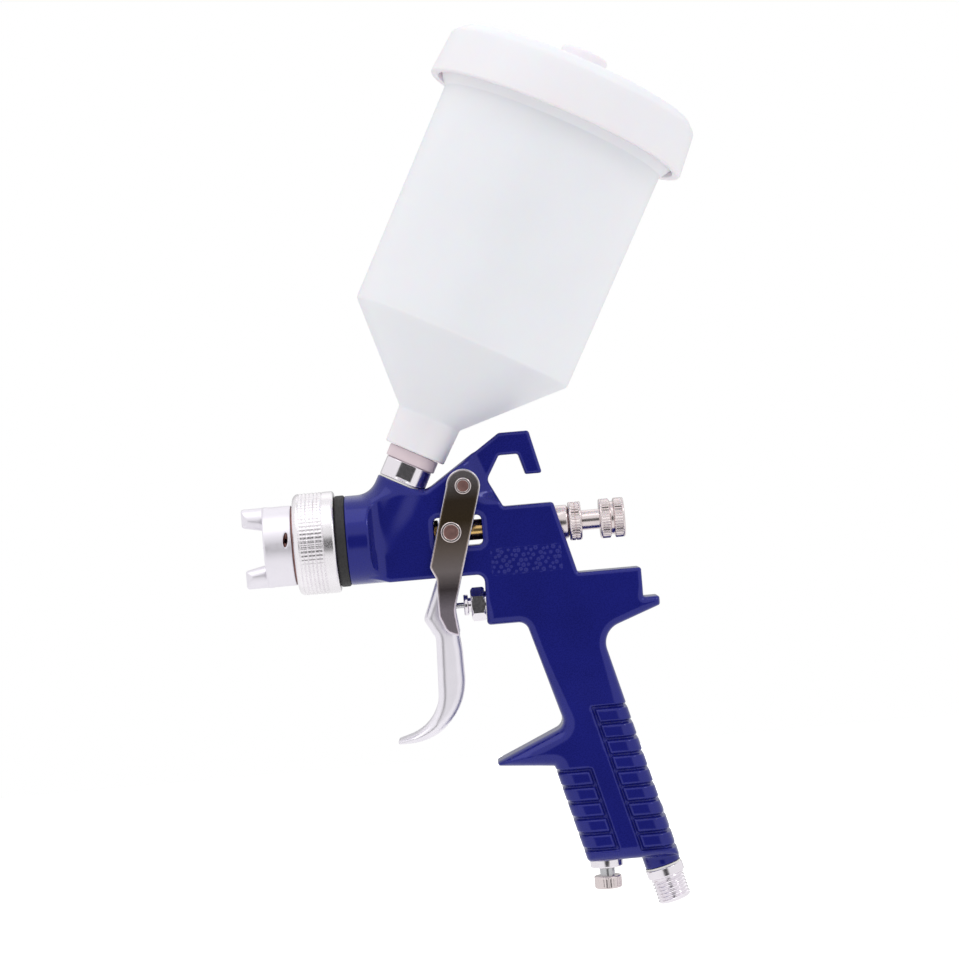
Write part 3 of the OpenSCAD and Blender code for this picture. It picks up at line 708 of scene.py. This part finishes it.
def cap_distance(x, y, z):
    r, station = NEEDLE_LINE.split(x, y, z)
    side, rise = np.abs(y), np.abs(z - AXIS_Z)
    horn_x, rear_x = CAP_LOW[0], -80.5
    tip_gap, foot_gap = 8.4, 6.6
    shell = overlap(r - CAP_R, np.maximum(CAP_FACE_X - x, x - rear_x), 0.6)
    flange = overlap(r - 16.9, np.maximum(-82.2 - x, x - rear_x), 0.2)
    lean = (tip_gap - foot_gap) / (CAP_FACE_X - horn_x)
    inner = foot_gap + (CAP_FACE_X - x) * lean - rise
    horns = overlap(r - CAP_R, np.maximum(horn_x - x, x - CAP_FACE_X - 2), 0.8)
    horns = overlap(horns, inner, 0.7)
    horns = overlap(horns, side - 6.5, 3.6)
    cap = joined(joined(shell, horns, 0.7), flange, 0.3)
    hollow = overlap(r - 13.2, np.maximum(-90 - x, x + 79), 1)
    cap = without(cap, hollow, 0.3)
    cap = without(cap, overlap(r - 8.4 - (x + 90) * 0.9, np.maximum(-94.2 - x, x + 89), 0.2), 0.3)
    cap = without(cap, r - 2.3, 0.25)
    # Face holes round the centre, two drillings in each horn, and a slot in each side
    for i in range(4):
        angle = math.radians(22.5 + 45 * i)
        u = np.cos(angle) * y + np.sin(angle) * (z - AXIS_Z)
        v = -np.sin(angle) * y + np.cos(angle) * (z - AXIS_Z)
        cap = without(cap, np.maximum(np.hypot(np.abs(u) - 4.6, v) - 0.5, x + 93), 0.15)
    slope_x, slope_rise = math.sin(HORN_HOLE_LEAN), math.cos(HORN_HOLE_LEAN)
    for hole_x in (-101, -98.3):
        depth = (12 - rise) * slope_rise - (x - hole_x) * slope_x
        aside = (12 - rise) * slope_x + (x - hole_x) * slope_rise
        drilling = np.maximum(np.hypot(y, aside) - 0.7, np.maximum(-depth, depth - 7))
        cap = without(cap, drilling, 0.15)
    cap = without(cap, locating_slot(x, z) + np.maximum(13.8 - side, 0), 0.2)
    return without(cap, overlap(CAP_R - 0.8 - r, cap_groove(x), 0.1), 0.2)


def locating_slot(x, z):
    """Below 0 inside the slot that is sunk in each side of the cap."""
    lean = 0.12 * (z - AXIS_Z)
    return np.hypot((x + 88.6 - lean) / 0.9, (z - AXIS_Z - 2.6) / 2.8) - 1


def cap_groove(x):
    """Below 0 inside the shadow groove round the cap in front of the ring."""
    return np.abs(x - RING_LOW[0] + 0.45) - 0.4


def make_air_cap():
    cap = solid("air_cap_horned", cap_distance, CAP_LOW, CAP_HIGH, 0.3, PEARL, "air_cap",
                node="air_cap")

    # Painted shade in the slot on each side of the cap and in the groove in front of the ring
    def shaded(x, y, z):
        r = math.hypot(y, z - AXIS_Z)
        sunk = locating_slot(x, z) < 0.1 and abs(y) < math.sqrt(CAP_R ** 2 - (z - AXIS_Z) ** 2) - 0.3
        grooved = cap_groove(x) < 0.1 and r < CAP_R - 0.25
        return r > 13.3 and (sunk or grooved)

    paint_shade(cap, shaded)


# ---- trigger ----

ARM_LINE = rounded([
    (-24.6, -8.6, 0), (-34.1, -40.9, 2.5), (-31.8, -45.6, 3), (-32.2, -60, 4),
    (-29.6, -66.4, 4), (-24.4, -68.6, 0.8), (-25.6, -58, 12), (-12.2, -12.8, 0)])
PULL_LINE = rounded([
    (-31.8, -45.6, 1), (-38.2, -61, 3), (-34, -68.6, 4), (-35.4, -102, 17), (-52, -106.9, 0.6),
    (-52, -108.4, 0.6), (-23.6, -108.4, 24), (-24, -74, 10), (-25.6, -58, 0), (-28, -47, 0)])
PULL_HOLLOW = rounded([
    (-28, -44, 0), (-31.4, -47.2, 1), (-35.7, -60.8, 2), (-31.6, -68.8, 3), (-33, -99.6, 12),
    (-41, -104.2, 0), (-30, -104.2, 4), (-10, -80, 0), (-10, -44, 0)])


def trigger_distance(x, y, z):
    side = np.abs(y)
    head = np.hypot(x - PIVOT_X, z - PIVOT_Z) - 6.6
    arm = np.minimum(outline_distance(x, z, ARM_LINE), head)
    middle = (PLATE_IN + PLATE_OUT) / 2
    plates = overlap(arm, np.abs(side - middle) - (PLATE_OUT - PLATE_IN) / 2, 0.7)
    # The pull narrows towards the rear
    narrowed = side + 0.22 * np.maximum(x + 36.5, 0)
    pull = overlap(outline_distance(x, z, PULL_LINE), narrowed - 8.5, 3.2)
    pull = without(pull, overlap(outline_distance(x, z, PULL_HOLLOW), narrowed - 6.2, 2.5), 0.6)
    # Room for the air valve's nut at full pull
    room = overlap(np.maximum(-29.6 - x, np.abs(z + 58) - 8.2), side - 7.8, 0.8)
    pull = without(pull, room, 0.5)
    lever = joined(plates, pull, 2.6)
    hole_r = PIN_R + 0.02
    pivot_hole = np.hypot(x - PIVOT_X, z - PIVOT_Z) - hole_r
    drive_hole = np.hypot(x - DRIVE_X, z - AXIS_Z) - hole_r
    return without(lever, np.minimum(pivot_hole, drive_hole), 0.15)


def make_trigger():
    low, high = box_mm("trigger")
    solid("trigger_lever", trigger_distance, low, high, 0.45, TRIGGER_PLATING_AND_REFLECTION, "trigger",
          node="trigger")


# Both pins have a dished head on the near side, and a clip groove and a tail on the far side
PIN_R = 2.5
PIN_TAIL = 13.5
PIN_TOP = -PLATE_OUT - 1.6


def paint_dish_shade(pin, pin_x, pin_z, radius):
    """The dished middle of a pin's head gets painted shade."""
    def shaded(x, y, z):
        return math.hypot(x - pin_x, z - pin_z) < radius and PIN_TOP + 0.2 < y < -PLATE_OUT

    paint_shade(pin, shaded)


def make_pivot_pin():
    head_r = 3.2
    dish = PIN_TOP + 0.7
    groove, groove_end, groove_r = PLATE_OUT + 0.1, PLATE_OUT + 0.9, PIN_R - 0.6
    pin = lathe("pivot_pin_headed", PIVOT_LINE, [
        (0, dish, 0), (head_r - 1.4, dish, 0.2), (head_r - 0.9, PIN_TOP, 0.25), (head_r, PIN_TOP, 0.4),
        (head_r, -PLATE_OUT, 0.1), (PIN_R, -PLATE_OUT, 0), (PIN_R, groove, 0), (groove_r, groove, 0),
        (groove_r, groove_end, 0), (PIN_R, groove_end, 0), (PIN_R, PIN_TAIL, 0.4), (0, PIN_TAIL, 0)],
        NICKEL, "trigger", "pivot_pin", 72)
    paint_dish_shade(pin, PIVOT_X, PIVOT_Z, 2.2)


def drive_pin_distance(x, y, z):
    r = np.hypot(x - DRIVE_X, z - AXIS_Z)
    pin = overlap(r - PIN_R, np.maximum(-12 - y, y - PIN_TAIL), 0.3)
    pin = np.minimum(pin, overlap(r - 4, np.maximum(PIN_TOP - y, y + PLATE_OUT), 0.35))
    pin = without(pin, overlap(r - 2.9, y - PIN_TOP - 0.35, 0.1), 0.15)
    clip_groove = np.maximum(PIN_R - 0.6 - r, np.abs(y - PLATE_OUT - 0.5) - 0.4)
    pin = without(pin, clip_groove, 0.1)
    pin = joined(pin, overlap(r - 4, np.abs(y) - 9.3, 0.3), 0.1)
    needle_slot = np.maximum(np.abs(y) - 1.7, np.abs(z - AXIS_Z - 0.75) - 2.25)
    return without(pin, needle_slot, 0.15)


def make_drive_pin():
    low, high = box_mm("drive_pin")
    pin = solid("drive_pin_headed", drive_pin_distance, low, high, 0.2, NICKEL, "trigger",
                node="drive_pin")
    paint_dish_shade(pin, DRIVE_X, AXIS_Z, 2.9)


# ---- rear controls and air valve ----

def hexagon(apothem, start, end):
    """Relief that cuts a turned blank to a hexagon between two stations."""
    def relief(radius, station, turn):
        if not start <= station <= end:
            return radius
        sector = (turn + math.pi / 6) % (math.pi / 3) - math.pi / 6
        return np.minimum(radius, apothem / np.cos(sector))
    return relief


def make_rear_controls():
    lathe("rear_guide_neck", NEEDLE_LINE, [
        (3.96, 4.1, 0), (5.5, 4.1, 0), (5.5, 16, 0), (6.6, 16, 0.2), (6.6, 20.6, 0.7), (5.6, 21.2, 0.1),
        (3.96, 21.2, 0)], NICKEL, "gun", "rear_guide", 96)
    lathe("lock_ring_knurled", NEEDLE_LINE, [
        (4, 21.3, 0), (7.5, 21.3, 0.6), (7.5, 26.2, 0.6), (4, 26.2, 0)], NICKEL, "lock_ring",
        "lock_ring", 288, 0.2, knurl(36, 0.35, 21.9, 25.6, (23.75,), 0.25, 0.3))
    low, high = KNOB_LOW[0], KNOB_HIGH[0]
    front = 33.3
    middle = (front + high) / 2
    waist = KNOB_R - 1.2

    pattern = knurl(40, 0.35, front + 0.6, high - 0.6)

    def relief(radius, station, turn):
        outside = radius[0] >= KNOB_R - 0.3
        return pattern(radius, station, turn) if outside else radius

    lathe("fluid_knob_knurled", NEEDLE_LINE, [
        (0, 17.6, 0), (2.2, 17.6, 0), (2.2, low, 0), (3.9, low, 0.2), (3.9, front, 0.2),
        (KNOB_R, front, 0.6), (KNOB_R, middle - 1, 0.4), (waist, middle - 0.5, 0.2),
        (waist, middle + 0.5, 0.2), (KNOB_R, middle + 1, 0.4), (KNOB_R, high, 0.7), (0, high, 0)],
        NICKEL, "fluid_knob", "fluid_knob", 320, 0.2, relief)


def make_air_valve():
    lathe("air_valve_nut_hex", VALVE_LINE, [
        (1.4, -19.4, 0), (5.6, -19.4, 0.2), (6.6, -18.6, 0.2), (6.6, -14.5, 0.2), (6, -13.9, 0.1),
        (5, -13.9, 0), (5, -5.1, 0), (1.4, -5.1, 0), (1.4, -10, 0), (2.92, -10, 0), (2.92, -19.3, 0)],
        CHROME, "gun", "air_valve_nut", 96, 0.5, hexagon(5.716, -19.3, -13.9))
    lathe("air_valve_gland_disc", VALVE_LINE, [
        (1.16, -22.2, 0.1), (4.1, -22.2, 0.5), (4.1, -20.4, 0.5), (2.9, -20.4, 0), (2.9, -14, 0),
        (1.16, -14, 0)], CHROME, "gun", "air_valve_gland", 72)
    lathe("packing_nut_hex", NEEDLE_LINE, [
        (1.33, -36.1, 0), (3.4, -36.1, 0), (3.4, -31.1, 0), (4.6, -31.1, 0), (4.9, -30.9, 0.1),
        (4.9, -29.7, 0.1), (4.5, -29.5, 0.1), (1.33, -29.5, 0.1)], BRASS, "gun",
        "packing_nut", 96, 0.4, hexagon(4.243, -31.05, -29.5))
    lathe("needle_collar_brass", NEEDLE_LINE, [
        (1.27, -20.5, 0.1), (4, -20.5, 0.4), (4, -6.5, 0.4), (2.02, -6.5, 0), (2.02, -11, 0),
        (1.27, -11, 0)], BRASS, "needle", "needle_collar", 96)


def make_spring(node, axis, start, end, coil_r, wire_r):
    """Coil spring between two stations on an axis."""
    turns, sides = 8, 10
    steps = turns * 32
    low, high = start + wire_r, end - wire_r
    angle = np.linspace(0, turns * 2 * math.pi, steps + 1)[:, None]
    around = np.arange(sides)[None, :] * 2 * math.pi / sides
    r = coil_r + wire_r * np.cos(around) + 0 * angle
    station = low + (high - low) * angle / angle[-1] + wire_r * np.sin(around)
    local = np.stack([r * np.cos(angle), r * np.sin(angle), station], -1).reshape(-1, 3)
    points = [axis.matrix() @ Vector(v) for v in local]
    faces = [list(range(sides)), list(range(steps * sides, (steps + 1) * sides))]
    for i in range(steps):
        for k in range(sides):
            n = (k + 1) % sides
            faces.append([i * sides + k, i * sides + n, (i + 1) * sides + n, (i + 1) * sides + k])
    spring = new_piece(node + "_coil", points, faces, STEEL, "gun", [node], sharp=40)
    anchor = (axis.matrix() @ Vector((0, 0, end))) * MM
    tuple(axis.along)
    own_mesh(spring)


def make_springs():
    make_spring("needle_spring", NEEDLE_LINE, -6.4, 8.9, 3.05, 0.45)
    make_spring("air_valve_spring", VALVE_LINE, 3.1, 19.4, 2.9, 0.4)


# ---- foot of the grip ----

def make_foot():
    lathe("regulator_collar_turned", REG_LINE, [
        (3.01, -3.2, 0), (6.5, -3.2, 0.6), (6.5, 0, 0.3), (5, 0, 0), (5, 9.8, 0), (3.01, 9.8, 0)],
        CHROME, "gun", "regulator_collar", 96)
    lathe("regulator_knob_knurled", REG_LINE, [
        (0, -11.5, 0), (5.4, -11.5, 0.7), (5.4, -6.6, 0.5), (0, -6.6, 0)],
        NICKEL, "regulator", "regulator_knob", 240, 0.25, knurl(30, 0.12, -10.9, -7.1))

    shoulder = INLET_BOSS_END + 0.7
    collar_end = shoulder + 3.6
    thread_end = collar_end + 10.2
    thread_r = 6.578
    pitch = 1.337

    def thread(radius, station, turn):
        if not collar_end + 0.3 < station < thread_end - 0.5 or radius[0] < 5:
            return radius
        phase = (station / pitch - turn / (2 * math.pi)) % 1
        fade = min(1, (station - collar_end - 0.3) / 0.8, (thread_end - 0.5 - station) / 0.8)
        return radius - 0.55 * fade * (0.5 + 0.5 * np.cos(2 * math.pi * phase))

    bore_r, spigot_r, collar_r, inner_end = 3.8, 5.5, 7.4, -7.8
    lathe("air_inlet_threaded", INLET_LINE, [
        (bore_r, inner_end, 0), (spigot_r, inner_end, 0), (spigot_r, shoulder, 0),
        (collar_r, shoulder, 0.4), (collar_r, collar_end, 0.5), (thread_r - 0.3, collar_end, 0.1),
        (thread_r, collar_end + 0.5, 0.1), (thread_r, thread_end - 0.8, 0.3),
        (thread_r - 0.8, thread_end, 0.2), (bore_r, thread_end, 0.4)],
        CHROME, "gun", "air_inlet", 160, 0.14, thread)


# ---- cup ----

def adapter_distance(x, y, z):
    r, station = CUP_LINE.split(x, y, z)
    collar = overlap(r - 9.3, np.maximum(BOSS_TOP + 0.6 - station, station - ADAPTER_TOP), 0.5)
    collar = without(collar, np.maximum(8.7 - np.abs(y), BOSS_TOP + 1.6 - station), 0.3)
    spigot = overlap(r - 8, np.maximum(31 - station, station - 46.6), 0.3)
    stub = np.maximum(r - 7, np.maximum(12.2 - station, station - 25))
    return without(np.minimum(np.minimum(collar, spigot), stub), r - 5, 0.2)


def make_cup():
    low, high = box_mm("cup_adapter")
    solid("cup_adapter_milled", adapter_distance, low, high, 0.35, CHROME, "gun",
          node="cup_adapter")
    lathe("neck_nut_ring", CUP_LINE, [
        (8.06, 31.45, 0), (10, 31.45, 0.5), (10, 36.1, 0.5), (8.06, 36.1, 0)], PINK, "gun",
        "neck_nut", 128)
    rim = 48.7
    wall = 1.6
    lathe("cup_moulded", CUP_LINE, [
        (8.1, 36.2, 0), (12.25, 36.2, 0.8), (12.8, 51, 1.5), (44.6, 83, 2.2), (45.4, 172, 1),
        (rim, 177, 1), (rim, 193.5, 0.5), (45.4 - wall, 193.5, 0.5), (45.4 - wall, 172, 1),
        (44.6 - wall, 83.7, 1.5), (9.6, 50.4, 1), (9.6, 47.5, 0), (8.1, 47.5, 0)], MILKY, "cup",
        "cup", 256)
    top = 196
    lathe("cup_lid_moulded", CUP_LINE, [
        (49.5, 174.8, 0.4), (52.8, 174.8, 0.9), (51.2, 192.5, 3), (47.5, top, 3), (4, top, 0.4),
        (4, top + 5, 0.5), (1, top + 5, 0.2), (1, top - 2, 0), (49, top - 2, 1)], MILKY, "cup_lid",
        "cup_lid", 256)
    lathe("vent_cap_moulded", CUP_LINE, [
        (4.1, top + 0.1, 0), (9.5, top + 0.1, 0.4), (9.5, top + 9.5, 1.3), (0, top + 9.5, 0),
        (0, top + 7.2, 0), (4.1, top + 7.2, 0)], MILKY, "vent_cap", "vent_cap", 128)


# ---- pieces that keep their CAD shape ----

KEPT = {
    "fluid_nozzle": BRASS, "air_baffle": STEEL, "cap_washer": NYLON, "needle": STEEL,
    "needle_packing": NYLON, "spring_seat": STEEL, "pin_clips": STEEL,
    "air_valve_packing": NYLON, "air_valve_seat": BRASS, "air_valve_stem": STEEL,
    "air_valve_washer": RUBBER, "regulator_stem": STEEL,
    "regulator_oring": RUBBER, "inlet_washer": NYLON, "adapter_seal": NYLON, "cup_filter": NYLON}


# ---- camera, light and floor ----

# Brightness of the tent, from straight behind the gun, at 0, to the opening in front of it, at 1
TENT = ((0.0, 0.50), (0.14, 0.93), (0.968, 0.93), (0.990, 0.05))
TILT = math.radians(5)
TARGET = Vector((-11.9, 0, -8.7)) * MM
DISTANCE = 1.053


def make_camera():
    data = bpy.data.cameras.new("camera")
    data.sensor_width = 36
    data.lens = 101.4
    camera = bpy.data.objects.new("camera", data)
    bpy.context.scene.collection.objects.link(camera)
    right = Vector((math.cos(TILT), 0, -math.sin(TILT)))
    up = Vector((math.sin(TILT), 0, math.cos(TILT)))
    back = Vector((0, -1, 0))
    place = TARGET + back * DISTANCE
    columns = (right, up, back, place)
    camera.matrix_world = Matrix([[c[i] for c in columns] for i in range(3)] + [[0, 0, 0, 1]])
    bpy.context.scene.camera = camera


def area_light(name, place, size, power):
    """Square light aimed at the gun: its width in metres and its power in watts."""
    data = bpy.data.lights.new(name, "AREA")
    data.size = size
    data.energy = power
    light = bpy.data.objects.new(name, data)
    light.location = place
    light.rotation_euler = (TARGET - Vector(place)).to_track_quat("-Z", "Y").to_euler()
    bpy.context.scene.collection.objects.link(light)


def make_world():
    """White all round, as in a light tent, but darker behind the gun, and dark at the opening in
    front of it."""
    world = bpy.data.worlds.new("light_tent")
    bpy.context.scene.world = world
    world.use_nodes = True
    tree = world.node_tree
    tree.nodes.clear()
    coords = tree.nodes.new("ShaderNodeTexCoord")
    towards = tree.nodes.new("ShaderNodeVectorMath")
    towards.operation = "DOT_PRODUCT"
    towards.inputs[1].default_value = (0, -0.9986, -0.0523)
    tree.links.new(coords.outputs["Generated"], towards.inputs[0])
    place = rescaled(tree, towards.outputs["Value"], -1, 1)
    shade = colour_ramp(tree, place, [(position, (level,) * 3) for position, level in TENT])
    tent = tree.nodes.new("ShaderNodeBackground")
    tree.links.new(shade, tent.inputs["Color"])
    seen = tree.nodes.new("ShaderNodeBackground")
    seen.inputs["Color"].default_value = (1, 1, 1, 1)
    path = tree.nodes.new("ShaderNodeLightPath")
    mix = tree.nodes.new("ShaderNodeMixShader")
    output = tree.nodes.new("ShaderNodeOutputWorld")
    tree.links.new(path.outputs["Is Camera Ray"], mix.inputs["Fac"])
    tree.links.new(tent.outputs["Background"], mix.inputs[1])
    tree.links.new(seen.outputs["Background"], mix.inputs[2])
    tree.links.new(mix.outputs["Shader"], output.inputs["Surface"])


def make_stage():
    """A pale floor well below the hanging gun, and soft lights above and beside it."""
    drop = 0.45
    level = cad_box[0][2] - drop
    mesh = bpy.data.meshes.new("floor")
    corners = [(-4, -1.4, level), (4, -1.4, level), (4, 5, level), (-4, 5, level)]
    mesh.from_pydata(corners, [], [(0, 1, 2, 3)])
    pale = surface("pale_floor", (0.8, 0.8, 0.8), 0.7, tint=0.01, patch=2, grain=60, height=0.01,
                   Emission_Color=(1, 1, 1, 1))
    tree = pale.node_tree
    path = tree.nodes.new("ShaderNodeLightPath")
    glow = rescaled(tree, path.outputs["Is Camera Ray"], 0, 1, 0.15, 1)
    tree.links.new(glow, tree.nodes["Principled BSDF"].inputs["Emission Strength"])
    mesh.materials.append(pale)
    floor = bpy.data.objects.new("floor", mesh)
    bpy.context.scene.collection.objects.link(floor)
    area_light("key", (-0.5, -0.6, 1.5), 1.4, 4.6)
    area_light("fill", (1.0, -0.8, 0.9), 0.4, 2.2)
    area_light("back", (0.3, 1.3, 1.2), 1.4, 2)


make_camera()
make_body()
make_ring()
make_gasket()
make_air_cap()
make_trigger()
make_pivot_pin()
make_drive_pin()
make_rear_controls()
make_air_valve()
make_springs()
make_foot()
make_cup()
for kept_node, kept_material in KEPT.items():
    dress(kept_node, kept_material)
make_world()
make_stage()
bpy.context.scene.view_settings.view_transform = "Standard"
